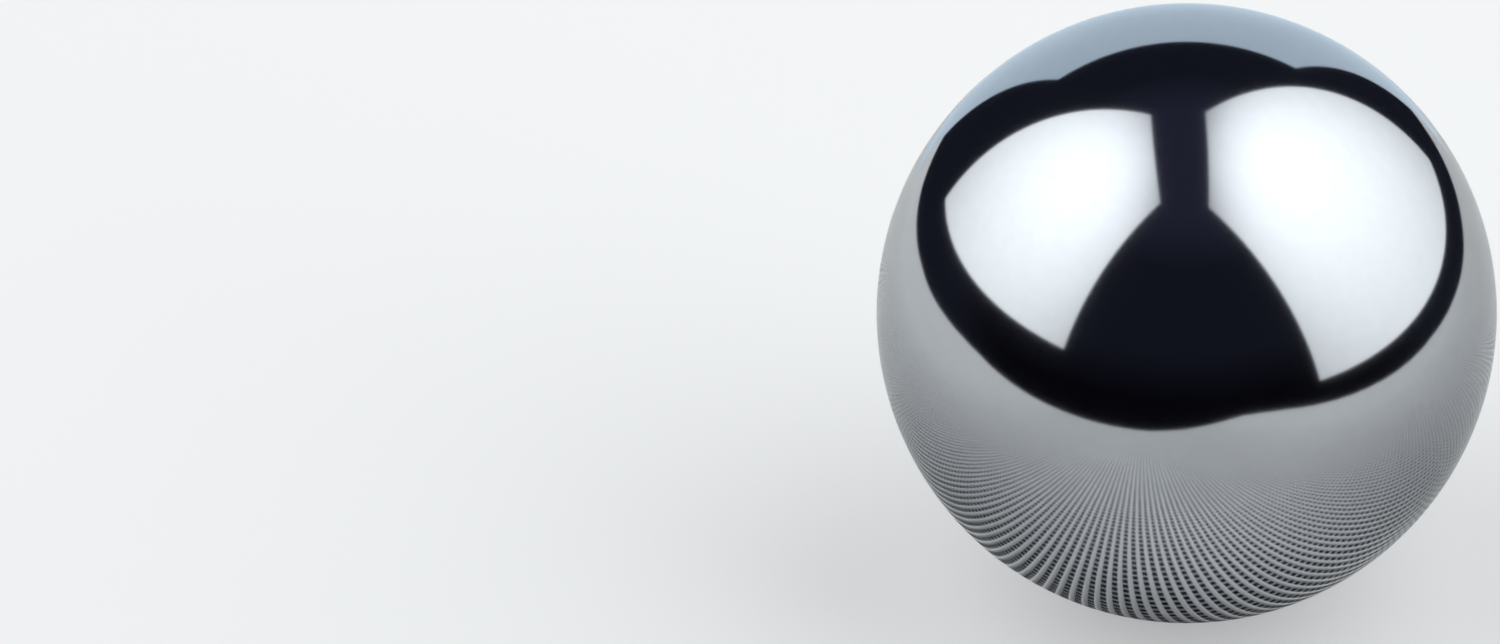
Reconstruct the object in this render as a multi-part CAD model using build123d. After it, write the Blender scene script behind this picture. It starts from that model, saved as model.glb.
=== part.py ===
from build123d import *

import os

# Tungsten carbide ball: one dense solid, pressed and sintered as a blank, then ground and lapped
# all over until it is a true sphere. It has no hole, flat, belt or mark.
# Lengths are in millimetres. The frame has +Z up and its origin at the centre of the ball.

# Driving size
BALL_DIAMETER = 25.4  # nominal diameter over the lapped surface, one inch


def meridian_face(diameter: float) -> Face:
    """Draw half of the ball's cross-section, in the XZ plane on the +X side.

    Args:
        diameter: diameter of the ball, in millimetres.

    Returns:
        A half-disc whose arc is a meridian and whose straight edge is the polar axis.
    """
    radius = diameter / 2
    meridian = ThreePointArc((0, 0, -radius), (radius, 0, 0), (0, 0, radius))
    polar_axis = Line(meridian @ 1, meridian @ 0)
    return make_face([meridian, polar_axis]).face()


def lapped_ball(diameter: float) -> Part:
    """Turn the half-section once about Z, which leaves one unbroken spherical face.

    Args:
        diameter: diameter of the ball, in millimetres.

    Returns:
        The solid ball, centred on the origin.
    """
    ball = revolve(meridian_face(diameter), axis=Axis.Z)
    ball.label = "ball"
    return ball


os.makedirs("parts", exist_ok=True)
export_step(lapped_ball(BALL_DIAMETER), "parts/ball.step")
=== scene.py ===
"""Looks of a lapped tungsten carbide ball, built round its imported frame.

The ball is one piece. Its finish is a mirror, so most of what the eye sees on it is the studio that
stands round it: a tall softbox at each side that leans in over it, a pale woven cloth under it, a small
pale card behind it and a dark drape round all of them. Those are stage, and the lens doesn't see them.
It sees a plain pale floor with the ball's soft shadow on it.

Everything is in metres. +Z is up, the origin is the centre of the ball, and the camera stands on the
-Y side.
"""

import logging
import math
from dataclasses import dataclass
from enum import Enum

import bmesh
import bpy
from mathutils import Matrix, Vector


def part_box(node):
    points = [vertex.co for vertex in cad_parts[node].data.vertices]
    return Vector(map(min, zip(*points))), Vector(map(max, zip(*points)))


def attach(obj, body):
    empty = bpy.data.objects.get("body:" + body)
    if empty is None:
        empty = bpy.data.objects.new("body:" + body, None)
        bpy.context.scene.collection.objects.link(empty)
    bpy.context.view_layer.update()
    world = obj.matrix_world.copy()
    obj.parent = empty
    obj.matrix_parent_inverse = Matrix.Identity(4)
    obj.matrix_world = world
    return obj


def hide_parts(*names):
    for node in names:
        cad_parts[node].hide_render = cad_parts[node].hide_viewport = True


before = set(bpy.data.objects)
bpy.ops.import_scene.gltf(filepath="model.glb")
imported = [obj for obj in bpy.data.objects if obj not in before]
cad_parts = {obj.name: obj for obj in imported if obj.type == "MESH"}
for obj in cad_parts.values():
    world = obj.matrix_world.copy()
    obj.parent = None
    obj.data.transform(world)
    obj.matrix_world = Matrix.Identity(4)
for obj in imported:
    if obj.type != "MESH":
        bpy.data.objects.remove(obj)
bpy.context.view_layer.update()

log = logging.getLogger("lapped_ball")

MM = 0.001  # metres in a millimetre
BACKDROP = "#F2F3F4"  # tone of everything behind the ball, a little under the white of its highlights
UNDER_FLOOR = 0.02 * MM  # gap that keeps the mirrored cloth clear of the floor that the lens sees
UNDER_CLOTH = 1 * MM  # from the ball's foot down to the dark table top, which shows past the cloth's edge
NOISE_MIDDLE = 0.5  # value that a noise takes half-way between its lows and its highs

Colour = tuple[float, float, float, float]


def linear(hex_colour: str) -> Colour:
    """Turn an sRGB colour into the linear values that the shaders work in, by the sRGB curve.

    Args:
        hex_colour: colour as written for a screen, such as "#BEC0C4".

    Returns:
        Linear red, green and blue, and an alpha of 1.
    """
    channels = (int(hex_colour[start : start + 2], 16) / 255 for start in (1, 3, 5))
    red, green, blue = (c / 12.92 if c <= 0.04045 else ((c + 0.055) / 1.055) ** 2.4 for c in channels)
    return red, green, blue, 1.0


def add_node(
    tree: bpy.types.NodeTree,
    kind: str,
    settings: dict[str, object] | None = None,
    inputs: dict[str | int, object] | None = None,
) -> bpy.types.Node:
    """Add one node with its settings and links.

    Args:
        tree: node tree that the node joins.
        kind: name of the node's type.
        settings: the node's own properties, by name.
        inputs: what each input holds: a plain value, or the output socket that feeds it.

    Returns:
        The new node.
    """
    node = tree.nodes.new(kind)
    for name, value in (settings or {}).items():
        setattr(node, name, value)
    for socket, source in (inputs or {}).items():
        if isinstance(source, bpy.types.NodeSocket):
            tree.links.new(source, node.inputs[socket])
        else:
            node.inputs[socket].default_value = source
    return node


def new_material(name: str) -> bpy.types.Material:
    """Make a material whose node tree is still empty.

    Args:
        name: what the real material is and how its surface was made.

    Returns:
        The material, with nodes in use.
    """
    material = bpy.data.materials.new(name)
    material.use_nodes = True
    material.node_tree.nodes.clear()
    return material


def new_object(name: str, data: bpy.types.ID) -> bpy.types.Object:
    """Put a mesh, lamp or camera into the scene.

    Args:
        name: name of the object.
        data: what the object shows.

    Returns:
        The object, at the origin.
    """
    thing = bpy.data.objects.new(name, data)
    bpy.context.scene.collection.objects.link(thing)
    return thing


def mottled(
    tree: bpy.types.NodeTree, tones: tuple[str, str], patch: float, detail: float = 2.0, grit: float = 0.5
) -> bpy.types.NodeSocket:
    """Mix two tones of one surface by a noise, so that its colour varies as a real one does.

    Args:
        tree: the material's node tree.
        tones: sRGB colours of the noise's lows and of its highs.
        patch: width of a patch of one tone, in metres.
        detail: how many finer noises lie over the patches.
        grit: strength of each of those against the one before.

    Returns:
        The output that carries the colour.
    """
    place = add_node(tree, "ShaderNodeTexCoord").outputs["Object"]
    noise = add_node(
        tree,
        "ShaderNodeTexNoise",
        inputs={"Vector": place, "Scale": 1 / patch, "Detail": detail, "Roughness": grit},
    )
    mixed = add_node(
        tree,
        "ShaderNodeMix",
        {"data_type": "RGBA"},
        {"Factor": noise.outputs["Fac"], "A": linear(tones[0]), "B": linear(tones[1])},
    )
    return mixed.outputs["Result"]


class Meets(Enum):
    """The rays that a stage surface meets. All others pass through it."""

    LENS = ("camera",)
    MIRROR = ("glossy",)
    MIRROR_AND_LIGHT = ("glossy", "diffuse", "shadow")


def put_on_stage(thing: bpy.types.Object, meets: Meets) -> None:
    """Let a stage surface meet only its own rays.

    Args:
        thing: floor, cloth, card or drape.
        meets: the rays that it meets.
    """
    for ray in ("camera", "diffuse", "glossy", "transmission", "shadow"):
        setattr(thing, f"visible_{ray}", ray in meets.value)
    log.info("stage %s: meets %s rays", thing.name, " and ".join(meets.value))


@dataclass(frozen=True)
class LappedCarbide:
    """Cemented tungsten carbide, ground and then lapped between plates to a mirror.

    It gives the eye a hard, cool grey mirror: it sends back about half of what it faces, a little more
    in the blue, with edges as sharp as in glass. Its grain is 0.0015 mm and its lapping marks are
    thinner still, so both are drawn coarser and very faint, as a cloudiness and as hairlines that only
    a lamp's edge would show. The surface is true to a small part of a micrometre, so it has no bump.
    """

    binder_rich: str = "#B9BBBF"
    grain_rich: str = "#BFC1C5"
    grain_patch: float = 0.6 * MM
    grain_detail: float = 3.0
    grain_grit: float = 0.6
    polished: float = 0.07  # roughness of the lapped surface
    hairline: float = 0.074  # roughness along a hairline
    hairline_loop: float = 7 * MM
    hairline_detail: float = 1.0
    hairline_wander: float = 0.4
    hairline_share: float = 0.004  # of the noise's range, on each side of its middle

    def material(self) -> bpy.types.Material:
        """Build the finish from a cloudy grey and a polish crossed by hairlines.

        Returns:
            The ball's material.
        """
        material = new_material("lapped_cemented_carbide")
        tree = material.node_tree
        grey = mottled(
            tree, (self.binder_rich, self.grain_rich), self.grain_patch, self.grain_detail, self.grain_grit
        )
        # A hairline runs where a slow, smooth noise crosses its middle value.
        place = add_node(tree, "ShaderNodeTexCoord").outputs["Object"]
        sweep = add_node(
            tree,
            "ShaderNodeTexNoise",
            inputs={
                "Vector": place,
                "Scale": 1 / self.hairline_loop,
                "Detail": self.hairline_detail,
                "Distortion": self.hairline_wander,
            },
        )
        on_hairline = add_node(
            tree,
            "ShaderNodeMath",
            {"operation": "COMPARE"},
            {0: sweep.outputs["Fac"], 1: NOISE_MIDDLE, 2: self.hairline_share},
        )
        roughness = add_node(
            tree,
            "ShaderNodeMapRange",
            inputs={"Value": on_hairline.outputs[0], "To Min": self.polished, "To Max": self.hairline},
        )
        metal = add_node(
            tree,
            "ShaderNodeBsdfPrincipled",
            inputs={"Base Color": grey, "Metallic": 1.0, "Roughness": roughness.outputs[0]},
        )
        add_node(tree, "ShaderNodeOutputMaterial", inputs={"Surface": metal.outputs[0]})
        return material


@dataclass
class LappedBall:
    """The ball: one closed shell, evenly divided, with the true radius at every point."""

    radius: float
    cells_per_side: int = 96  # of the cube that the shell starts from, fine enough for a clean outline
    finish: LappedCarbide = LappedCarbide()

    def shell(self) -> bpy.types.Mesh:
        """Blow a divided cube up into a sphere.

        The cube's sides lie at 1 and -1. The tangent spaces its lines by equal angles, so the cells
        come out alike all over the ball and none of them narrows to a pole.

        Returns:
            The mesh, with normals that point exactly away from the centre.
        """
        cube = bmesh.new()
        bmesh.ops.create_cube(cube, size=2.0)
        bmesh.ops.subdivide_edges(cube, edges=cube.edges[:], cuts=self.cells_per_side - 1, use_grid_fill=True)
        for vertex in cube.verts:
            spaced = Vector(math.tan(math.pi / 4 * side) for side in vertex.co)
            vertex.co = spaced.normalized() * self.radius
        for face in cube.faces:
            face.smooth = True
        mesh = bpy.data.meshes.new("lapped_ball")
        cube.to_mesh(mesh)
        cube.free()
        mesh.normals_split_custom_set_from_vertices([vertex.co.normalized() for vertex in mesh.vertices])
        return mesh

    def build(self) -> bpy.types.Object:
        """Build the ball, dress it and set it on its body.

        Returns:
            The finished piece.
        """
        ball = new_object("lapped_ball", self.shell())
        ball.data.materials.append(self.finish.material())
        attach(ball, "root")
        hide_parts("ball")
        return ball


@dataclass(frozen=True)
class PaintedBoard:
    """Board painted matt white.

    It gives the eye an even, nearly white ground without gloss, where only the soft shadow shows. Away
    from the ball the backdrop's own glow takes over, so that no horizon shows behind the ball.
    """

    thin_paint: str = "#F1F0F0"
    paint: str = "#F4F3F3"
    roller_mark: float = 25 * MM
    matt: float = 0.9  # roughness of the paint
    glow_near: float = 0.4  # share of the backdrop's glow where the ball stands
    fade_from: float = 30 * MM  # distance from the ball's centre where the glow starts to take over
    fade_to: float = 100 * MM  # and where it has done so

    def material(self) -> bpy.types.Material:
        """Build the paint from two whites that a broad noise mixes, and the glow that takes over far off.

        Returns:
            The floor's material.
        """
        material = new_material("matt_painted_board")
        tree = material.node_tree
        white = mottled(tree, (self.thin_paint, self.paint), self.roller_mark)
        paint = add_node(tree, "ShaderNodeBsdfDiffuse", inputs={"Color": white, "Roughness": self.matt})
        place = add_node(tree, "ShaderNodeTexCoord").outputs["Object"]
        away = add_node(tree, "ShaderNodeVectorMath", {"operation": "LENGTH"}, {0: place})
        share = add_node(
            tree,
            "ShaderNodeMapRange",
            {"interpolation_type": "SMOOTHSTEP"},
            {
                "Value": away.outputs["Value"],
                "From Min": self.fade_from,
                "From Max": self.fade_to,
                "To Min": self.glow_near,
            },
        )
        glow = add_node(tree, "ShaderNodeEmission", inputs={"Color": linear(BACKDROP)})
        both = add_node(
            tree,
            "ShaderNodeMixShader",
            inputs={"Fac": share.outputs[0], 1: paint.outputs[0], 2: glow.outputs[0]},
        )
        add_node(tree, "ShaderNodeOutputMaterial", inputs={"Surface": both.outputs[0]})
        return material


@dataclass
class PaleFloor:
    """The plain floor that the ball rests on."""

    level: float  # of its top
    reach: float = 3.0  # half of its side
    finish: PaintedBoard = PaintedBoard()

    def build(self) -> bpy.types.Object:
        """Build the floor and put it on the stage.

        Returns:
            The floor.
        """
        board = bmesh.new()
        bmesh.ops.create_grid(board, size=self.reach, matrix=Matrix.Translation((0, 0, self.level)))
        mesh = bpy.data.meshes.new("pale_floor")
        board.to_mesh(mesh)
        board.free()
        floor = new_object("pale_floor", mesh)
        floor.data.materials.append(self.finish.material())
        put_on_stage(floor, Meets.LENS)
        return floor


@dataclass(frozen=True)
class CottonYarn:
    """Cotton yarn, spun hard and bleached nearly white.

    Its round back takes the light, so each thread is a matt line, bright along its top.
    """

    slub: str = "#E6E6E6"  # where the yarn is thicker and takes less bleach
    bleached: str = "#EDEDED"
    slub_length: float = 6 * MM

    def material(self) -> bpy.types.Material:
        """Build the yarn from two pale greys.

        Returns:
            The threads' material.
        """
        material = new_material("spun_bleached_cotton")
        tree = material.node_tree
        grey = mottled(tree, (self.slub, self.bleached), self.slub_length)
        yarn = add_node(tree, "ShaderNodeBsdfDiffuse", inputs={"Color": grey})
        add_node(tree, "ShaderNodeOutputMaterial", inputs={"Surface": yarn.outputs[0]})
        return material


@dataclass(frozen=True)
class GapShadeBacking:
    """Dark sheet under an open weave. Its colour is painted shade, which leaves the gaps between the threads
    nearly black.
    """

    # two tones of painted shade for the gaps, which a noise mixes in patches of the size below
    deep_gap_shade: str = "#35334A"
    paler_gap_shade: str = "#3D3B52"
    gap_shade_patch: float = 0.5 * MM

    def material(self) -> bpy.types.Material:
        """Build the painted gap shade from two dark greys.

        Returns:
            The backing's material.
        """
        material = new_material("painted_gap_shade_backing")
        tree = material.node_tree
        dark = mottled(tree, (self.deep_gap_shade, self.paler_gap_shade), self.gap_shade_patch)
        shaded_sheet = add_node(tree, "ShaderNodeBsdfDiffuse", inputs={"Color": dark})
        add_node(tree, "ShaderNodeOutputMaterial", inputs={"Surface": shaded_sheet.outputs[0]})
        return material


@dataclass(frozen=True)
class ThreadSet:
    """The threads that run one way through a cloth, side by side on its backing."""

    turn: float  # of the threads, clockwise from straight away
    width: float
    foot: float  # height of the threads' undersides over the backing
    rise: float  # of a thread's back over its underside
    pitch: float = 0.68 * MM  # from thread to thread, as the ball's mirror image gives it
    facets: int = 6  # round a thread's back

    def spans(self, cut: list[Vector]) -> list[tuple[float, float, float]]:
        """Find the stretches of thread that lie inside the cut of the cloth.

        Args:
            cut: corners of the cloth, seen from above.

        Returns:
            For each stretch, how far to the side it lies, and where it starts and ends along itself.
        """
        along = Vector((math.sin(self.turn), math.cos(self.turn)))
        aside = Vector((along.y, -along.x))
        sides = [corner.dot(aside) for corner in cut]
        places = [corner.dot(along) for corner in cut]
        stretches = []
        for number in range(math.ceil(min(sides) / self.pitch), math.ceil(max(sides) / self.pitch)):
            offset = number * self.pitch
            ends = []
            for corner in range(len(cut)):
                before, after = sides[corner - 1] - offset, sides[corner] - offset
                if (before < 0) != (after < 0):
                    share = before / (before - after)
                    ends.append(places[corner - 1] + share * (places[corner] - places[corner - 1]))
            ends.sort()
            stretches += [(offset, start, end) for start, end in zip(ends[::2], ends[1::2])]
        return stretches

    def lay(self, weave: bmesh.types.BMesh, cut: list[Vector], level: float) -> None:
        """Lay every thread as a half-round strip.

        Args:
            weave: mesh that the threads join.
            cut: corners of the cloth, seen from above.
            level: height of the backing.
        """
        turned = Matrix.Translation((0, 0, level + self.foot)) @ Matrix.Rotation(-self.turn, 4, "Z")
        angles = [math.pi * facet / self.facets for facet in range(self.facets + 1)]
        back = [(self.width / 2 * math.cos(angle), self.rise * math.sin(angle)) for angle in angles]
        for offset, start, end in self.spans(cut):
            rows = [
                [weave.verts.new(turned @ Vector((offset + x, y, z))) for x, z in back] for y in (start, end)
            ]
            for near, far in zip(zip(rows[0], rows[0][1:]), zip(rows[1], rows[1][1:])):
                weave.faces.new((near[0], far[0], far[1], near[1])).smooth = True


@dataclass
class TableCloth:
    """The cloth under the ball: thick ribs that run away from the lens, thin threads across, and a backing
    whose dark colour paints the shade in the gaps.

    Mirrored in the ball, the ribs fan out towards its lower edge as light lines, with dark gaps that the
    cross threads bead. Further off they close up to an even grey, because the eye meets them low.
    """

    level: float  # of the ribs' backs
    # Corners of the cut, seen from above, in millimetres from the point under the ball
    cut_mm: tuple[tuple[float, float], ...] = (
        (-160, -10),
        (-145, -33),
        (-100, -52),
        (-60, -66),
        (-16, -78),
        (0, -88),
        (29, -114),
        (43, -124),
        (55, -119),
        (66, -101),
        (73, -60),
        (85, 6),
        (81, 28),
        (66, 64),
        (45, 86),
        (-61, 88),
        (-100, 76),
        (-128, 63),
        (-156, 19),
    )
    ribs: ThreadSet = ThreadSet(turn=math.radians(14.4), width=0.34 * MM, foot=0.28 * MM, rise=0.16 * MM)
    cross_threads: ThreadSet = ThreadSet(
        turn=math.radians(104.4), width=0.22 * MM, foot=0.0, rise=0.28 * MM
    )
    yarn: CottonYarn = CottonYarn()
    # its dark colour is painted shade for the gaps between the threads
    backing: GapShadeBacking = GapShadeBacking()

    def build(self) -> bpy.types.Object:
        """Build the cloth and put it on the stage.

        Returns:
            The cloth.
        """
        finishes = [self.yarn, self.backing]
        cut = [Vector((x, y)) * MM for x, y in self.cut_mm]
        backing_level = self.level - self.ribs.foot - self.ribs.rise
        weave = bmesh.new()
        ground = weave.faces.new([weave.verts.new((*corner, backing_level)) for corner in cut])
        ground.material_index = finishes.index(self.backing)
        self.cross_threads.lay(weave, cut, backing_level)
        self.ribs.lay(weave, cut, backing_level)
        mesh = bpy.data.meshes.new("table_cloth")
        weave.to_mesh(mesh)
        weave.free()
        cloth = new_object("table_cloth", mesh)
        for finish in finishes:
            cloth.data.materials.append(finish.material())
        put_on_stage(cloth, Meets.MIRROR_AND_LIGHT)
        return cloth


@dataclass(frozen=True)
class CoatedCard:
    """Card with a smooth, faintly blue white coating, and a painted glow in its own colour on top of the
    light it takes.

    It mirrors as an even, cool band along the ball's top edge.
    """

    shade: str = "#C9DAE9"
    coating: str = "#D2E2EF"
    cloud: float = 18 * MM
    painted_glow_strength: float = 0.4  # strength of the painted glow, where 1 is white

    def material(self) -> bpy.types.Material:
        """Build the coating from two cool whites, and a painted glow in the same colour that brightens it.

        Returns:
            The card's material.
        """
        material = new_material("coated_card")
        tree = material.node_tree
        white = mottled(tree, (self.shade, self.coating), self.cloud)
        coating = add_node(tree, "ShaderNodeBsdfDiffuse", inputs={"Color": white})
        # painted glow: an emission in the card's own colour, not light from behind
        through = add_node(
            tree, "ShaderNodeEmission", inputs={"Color": white, "Strength": self.painted_glow_strength}
        )
        both = add_node(tree, "ShaderNodeAddShader", inputs={0: coating.outputs[0], 1: through.outputs[0]})
        add_node(tree, "ShaderNodeOutputMaterial", inputs={"Surface": both.outputs[0]})
        return material


@dataclass
class BackCard:
    """The small pale card that stands on the cloth behind the ball."""

    level: float  # of its foot
    behind: float = 50 * MM  # from the ball's centre
    left: float = -32 * MM
    right: float = 26 * MM
    top: float = 37.5 * MM
    finish: CoatedCard = CoatedCard()

    def build(self) -> bpy.types.Object:
        """Build the card and put it on the stage.

        Returns:
            The card.
        """
        mesh = bpy.data.meshes.new("back_card")
        corners = [
            (self.left, self.behind, self.level),
            (self.right, self.behind, self.level),
            (self.right, self.behind, self.top),
            (self.left, self.behind, self.top),
        ]
        mesh.from_pydata(corners, [], [range(len(corners))])
        card = new_object("back_card", mesh)
        card.data.materials.append(self.finish.material())
        put_on_stage(card, Meets.MIRROR)
        return card


@dataclass(frozen=True)
class BlackMolton:
    """Napped black cotton drape.

    It swallows nearly all light: the ball mirrors it as near black in front, at table height, and as
    a dark navy behind and overhead, where the little light that the lamps would give it is painted on as its
    own glow.
    """

    low: str = "#0A0A0F"
    middle: str = "#1B1D28"
    high: str = "#2A2C3E"
    middle_from: float = 0.3  # share of the height where the low tone has given way to the middle one
    middle_to: float = 0.75
    high_from: float = 0.93
    behind_from: float = -0.4  # +Y share of the way out from the ball, where the painted light on the low part starts
    behind_to: float = 0.2  # and where it has reached the middle tone

    def material(self, height: float) -> bpy.types.Material:
        """Build the drape's faint glow, painted light that grows with height and towards the back.

        Args:
            height: how far the drape rises.

        Returns:
            The drape's material.
        """
        material = new_material("black_molton")
        tree = material.node_tree
        place = add_node(tree, "ShaderNodeTexCoord").outputs["Object"]
        rise = add_node(tree, "ShaderNodeSeparateXYZ", inputs={0: place}).outputs["Z"]
        share = add_node(tree, "ShaderNodeMath", {"operation": "DIVIDE"}, {0: rise, 1: height}).outputs[0]
        way = add_node(tree, "ShaderNodeVectorMath", {"operation": "NORMALIZE"}, {0: place}).outputs[0]
        backwards = add_node(tree, "ShaderNodeSeparateXYZ", inputs={0: way}).outputs["Y"]
        behind = add_node(
            tree,
            "ShaderNodeMapRange",
            {"interpolation_type": "SMOOTHSTEP"},
            {
                "Value": backwards,
                "From Min": self.behind_from,
                "From Max": self.behind_to,
                "To Max": self.middle_from,
            },
        ).outputs[0]
        lit = add_node(tree, "ShaderNodeMath", {"operation": "MAXIMUM"}, {0: share, 1: behind}).outputs[0]
        tone = add_node(tree, "ShaderNodeValToRGB", inputs={"Fac": lit})
        ramp = tone.color_ramp.elements
        ramp[0].color = linear(self.low)
        ramp[1].position = self.high_from
        ramp[1].color = linear(self.high)
        ramp.new(self.middle_from).color = linear(self.middle)
        ramp.new(self.middle_to).color = linear(self.middle)
        # the emission paints the lamps' light on the drape
        glow = add_node(tree, "ShaderNodeEmission", inputs={"Color": tone.outputs["Color"]})
        add_node(tree, "ShaderNodeOutputMaterial", inputs={"Surface": glow.outputs[0]})
        return material


@dataclass
class DarkDrape:
    """The drape that hangs round the table and closes over it, down to the table top."""

    level: float  # of the table top
    reach: float = 1.5
    rings: int = 24  # of faces, from the table top's middle to the crown
    finish: BlackMolton = BlackMolton()

    def build(self) -> bpy.types.Object:
        """Build the drape as a dome on a round table top, and put it on the stage.

        Returns:
            The drape.
        """
        tent = bmesh.new()
        bmesh.ops.create_uvsphere(tent, u_segments=2 * self.rings, v_segments=self.rings, radius=self.reach)
        for vertex in tent.verts:
            vertex.co.z = max(vertex.co.z, self.level)
        mesh = bpy.data.meshes.new("dark_drape")
        tent.to_mesh(mesh)
        tent.free()
        drape = new_object("dark_drape", mesh)
        drape.data.materials.append(self.finish.material(self.reach))
        put_on_stage(drape, Meets.MIRROR)
        return drape


class Side(Enum):
    """The side of the ball that a softbox stands on, as the camera sees it."""

    LEFT = "left"
    RIGHT = "right"


@dataclass
class Softbox:
    """A softbox: one rectangular lamp behind a cloth that is brightest at its middle."""

    side: Side
    width: float
    height: float
    centre: Vector
    turn: float  # of the way it faces, about +Z from +X
    lean: float  # of the way it faces, down from level
    roll: float  # about the way it faces
    middle_radiance: float
    bright_middle: tuple[float, float]  # in the plane of the cloth, rightwards and upwards from its centre
    spread: tuple[float, float]  # distances from there, across and up, in which the light falls to 0.61
    tint: str = "#F8FDFE"

    def facing(self) -> Matrix:
        """Work out how the softbox stands.

        Returns:
            A rotation whose -Z faces the ball and whose +Y is the softbox's upward edge.
        """
        level = math.cos(self.lean)
        forward = Vector((math.cos(self.turn) * level, math.sin(self.turn) * level, -math.sin(self.lean)))
        across = Vector((0, 0, 1)).cross(forward).normalized()
        upward = forward.cross(across)
        rolled_across = across * math.cos(self.roll) + upward * math.sin(self.roll)
        rolled_up = upward * math.cos(self.roll) - across * math.sin(self.roll)
        return Matrix((-rolled_across, rolled_up, -forward)).transposed()

    def glow(self, tree: bpy.types.NodeTree) -> None:
        """Make the lamp brightest at its middle, as cloth in front of one bulb is.

        The light falls off in a bell curve: e to the power of minus half the square of the distance,
        counted in spreads.

        Args:
            tree: the lamp's node tree.
        """
        tree.nodes.clear()
        place = add_node(tree, "ShaderNodeTexCoord").outputs["Object"]
        away = add_node(
            tree, "ShaderNodeVectorMath", {"operation": "SUBTRACT"}, {0: place, 1: (*self.bright_middle, 0.0)}
        ).outputs["Vector"]
        spreads = add_node(
            tree, "ShaderNodeVectorMath", {"operation": "DIVIDE"}, {0: away, 1: (*self.spread, 1.0)}
        ).outputs["Vector"]
        square = add_node(
            tree, "ShaderNodeVectorMath", {"operation": "DOT_PRODUCT"}, {0: spreads, 1: spreads}
        ).outputs["Value"]
        halved = add_node(
            tree, "ShaderNodeMath", {"operation": "MULTIPLY"}, {0: square, 1: -0.5}
        ).outputs[0]
        falloff = add_node(tree, "ShaderNodeMath", {"operation": "EXPONENT"}, {0: halved}).outputs[0]
        light = add_node(
            tree, "ShaderNodeEmission", inputs={"Color": linear(self.tint), "Strength": falloff}
        )
        add_node(tree, "ShaderNodeOutputLight", inputs={"Surface": light.outputs[0]})

    def build(self) -> bpy.types.Object:
        """Build the softbox as a lamp that the ball mirrors and the lens doesn't see.

        Returns:
            The lamp.
        """
        lamp = bpy.data.lights.new(f"softbox_{self.side.value}", "AREA")
        lamp.shape = "RECTANGLE"
        lamp.size = self.width
        lamp.size_y = self.height
        lamp.energy = self.middle_radiance * math.pi * self.width * self.height
        lamp.use_nodes = True
        self.glow(lamp.node_tree)
        softbox = new_object(lamp.name, lamp)
        softbox.matrix_world = Matrix.Translation(self.centre) @ self.facing().to_4x4()
        softbox.visible_camera = False
        log.info("lamp %s: %.2f by %.2f m, %.2f W", lamp.name, self.width, self.height, lamp.energy)
        return softbox


@dataclass(frozen=True)
class StudioAir:
    """What is beyond the stage: the backdrop's plain tone to look at, and a faint even light."""

    ambient: float = 0.15  # strength of that light on matt surfaces

    def build(self) -> bpy.types.World:
        """Build the world and give it to the scene.

        The strength is 1 for lens, metal and glass, which all meet the backdrop's tone as it is
        written. Matt surfaces get the faint ambient light alone.

        Returns:
            The world.
        """
        world = bpy.data.worlds.new("studio_air")
        world.use_nodes = True
        tree = world.node_tree
        tree.nodes.clear()
        path = add_node(tree, "ShaderNodeLightPath").outputs
        seen_or_mirrored = add_node(
            tree,
            "ShaderNodeMath",
            {"operation": "MAXIMUM"},
            {0: path["Is Camera Ray"], 1: path["Is Glossy Ray"]},
        ).outputs[0]
        seen = add_node(
            tree,
            "ShaderNodeMath",
            {"operation": "MAXIMUM"},
            {0: seen_or_mirrored, 1: path["Is Transmission Ray"]},
        ).outputs[0]
        strength = add_node(
            tree, "ShaderNodeMapRange", inputs={"Value": seen, "To Min": self.ambient, "To Max": 1.0}
        )
        backdrop = add_node(
            tree,
            "ShaderNodeBackground",
            inputs={"Color": linear(BACKDROP), "Strength": strength.outputs[0]},
        )
        add_node(tree, "ShaderNodeOutputWorld", inputs={"Surface": backdrop.outputs[0]})
        bpy.context.scene.world = world
        return world


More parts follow.
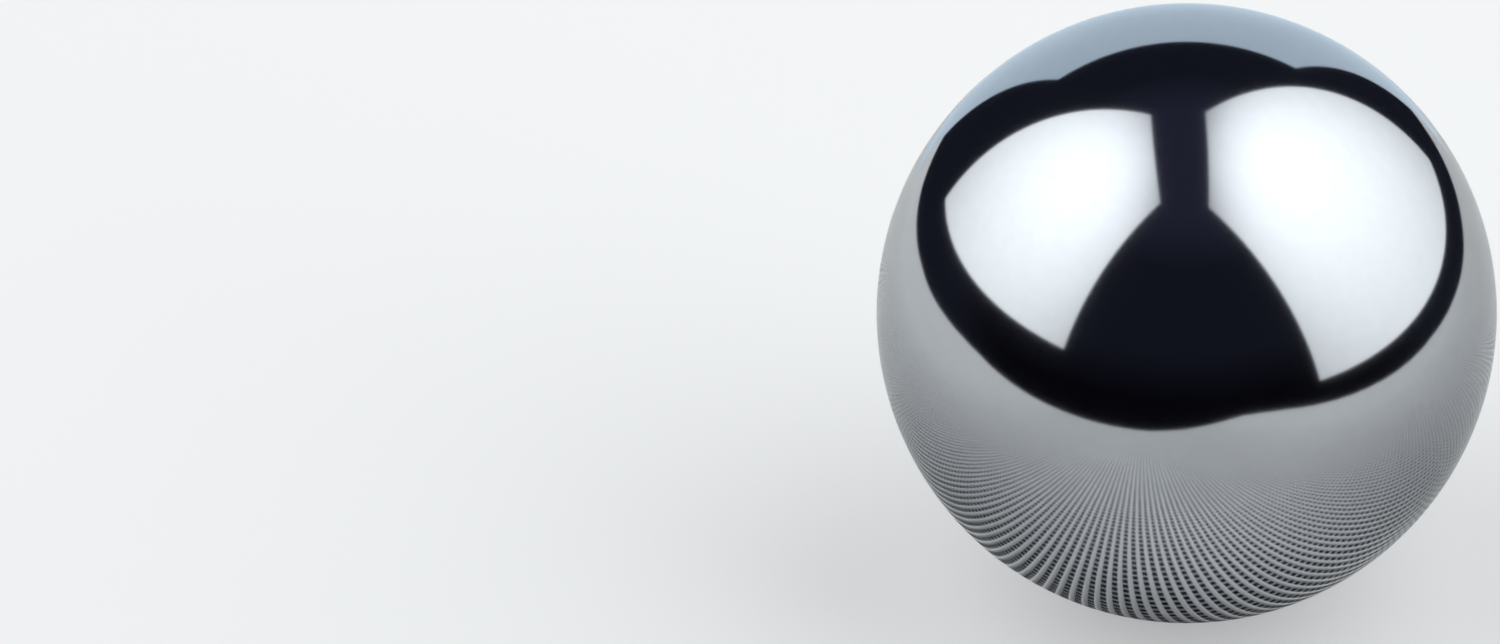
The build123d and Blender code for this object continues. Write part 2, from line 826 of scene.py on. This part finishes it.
@dataclass
class PhotoCamera:
    """A long lens at the photograph's viewing angle, turned so that the ball stands where it does there."""

    elevation: float = math.radians(32.2)
    distance: float = 0.6
    sensor_mm: float = 36.0
    picture_px: tuple[float, float] = (1500.0, 644.0)
    ball_centre_px: tuple[float, float] = (1186.5, 313.1)
    ball_radius_px: float = 309.9

    def build(self, ball_radius: float) -> bpy.types.Object:
        """Build the camera and make it the scene's.

        Args:
            ball_radius: the ball's real radius.

        Returns:
            The camera.
        """
        width_px, height_px = self.picture_px
        focal_px = self.ball_radius_px / math.tan(math.asin(ball_radius / self.distance))
        to_right = self.ball_centre_px[0] - width_px / 2
        to_top = height_px / 2 - self.ball_centre_px[1]
        back = Vector((0.0, -math.cos(self.elevation), math.sin(self.elevation)))
        aimed = (-back).to_track_quat("-Z", "Y")
        aside = Vector((to_right, to_top, -focal_px)).rotation_difference(Vector((0, 0, -1)))
        lens = bpy.data.cameras.new("photo_camera")
        lens.sensor_width = self.sensor_mm
        lens.lens = focal_px / width_px * self.sensor_mm
        camera = new_object("photo_camera", lens)
        camera.location = back * self.distance
        camera.rotation_mode = "QUATERNION"
        camera.rotation_quaternion = aimed @ aside
        bpy.context.scene.camera = camera
        return camera


def main() -> None:
    """Build the ball, then the studio round it."""
    logging.basicConfig(level=logging.INFO, format="%(name)s: %(message)s")
    low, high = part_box("ball")
    radius = (high.z - low.z) / 2

    ball = LappedBall(radius).build()
    log.info("piece %s: %d faces, %.1f mm across", ball.name, len(ball.data.polygons), 2 * radius / MM)

    PaleFloor(level=-radius).build()
    TableCloth(level=-radius - UNDER_FLOOR).build()
    BackCard(level=-radius).build()
    DarkDrape(level=-radius - UNDER_CLOTH).build()
    Softbox(
        Side.LEFT,
        width=0.600,
        height=0.825,
        centre=Vector((-0.255, -0.001, 0.463)),
        turn=math.radians(0.05),
        lean=math.radians(14.36),
        roll=math.radians(-5.06),
        middle_radiance=2.16,
        bright_middle=(-0.018, -0.061),
        spread=(0.351, 0.421),
    ).build()
    Softbox(
        Side.RIGHT,
        width=0.600,
        height=0.844,
        centre=Vector((0.189, 0.030, 0.401)),
        turn=math.radians(183.47),
        lean=math.radians(12.36),
        roll=math.radians(0.53),
        middle_radiance=2.19,
        bright_middle=(0.000, -0.076),
        spread=(0.319, 0.379),
    ).build()
    StudioAir().build()
    PhotoCamera().build(radius)

    bpy.context.scene.view_settings.view_transform = "Standard"


if __name__ == "__main__":
    main()
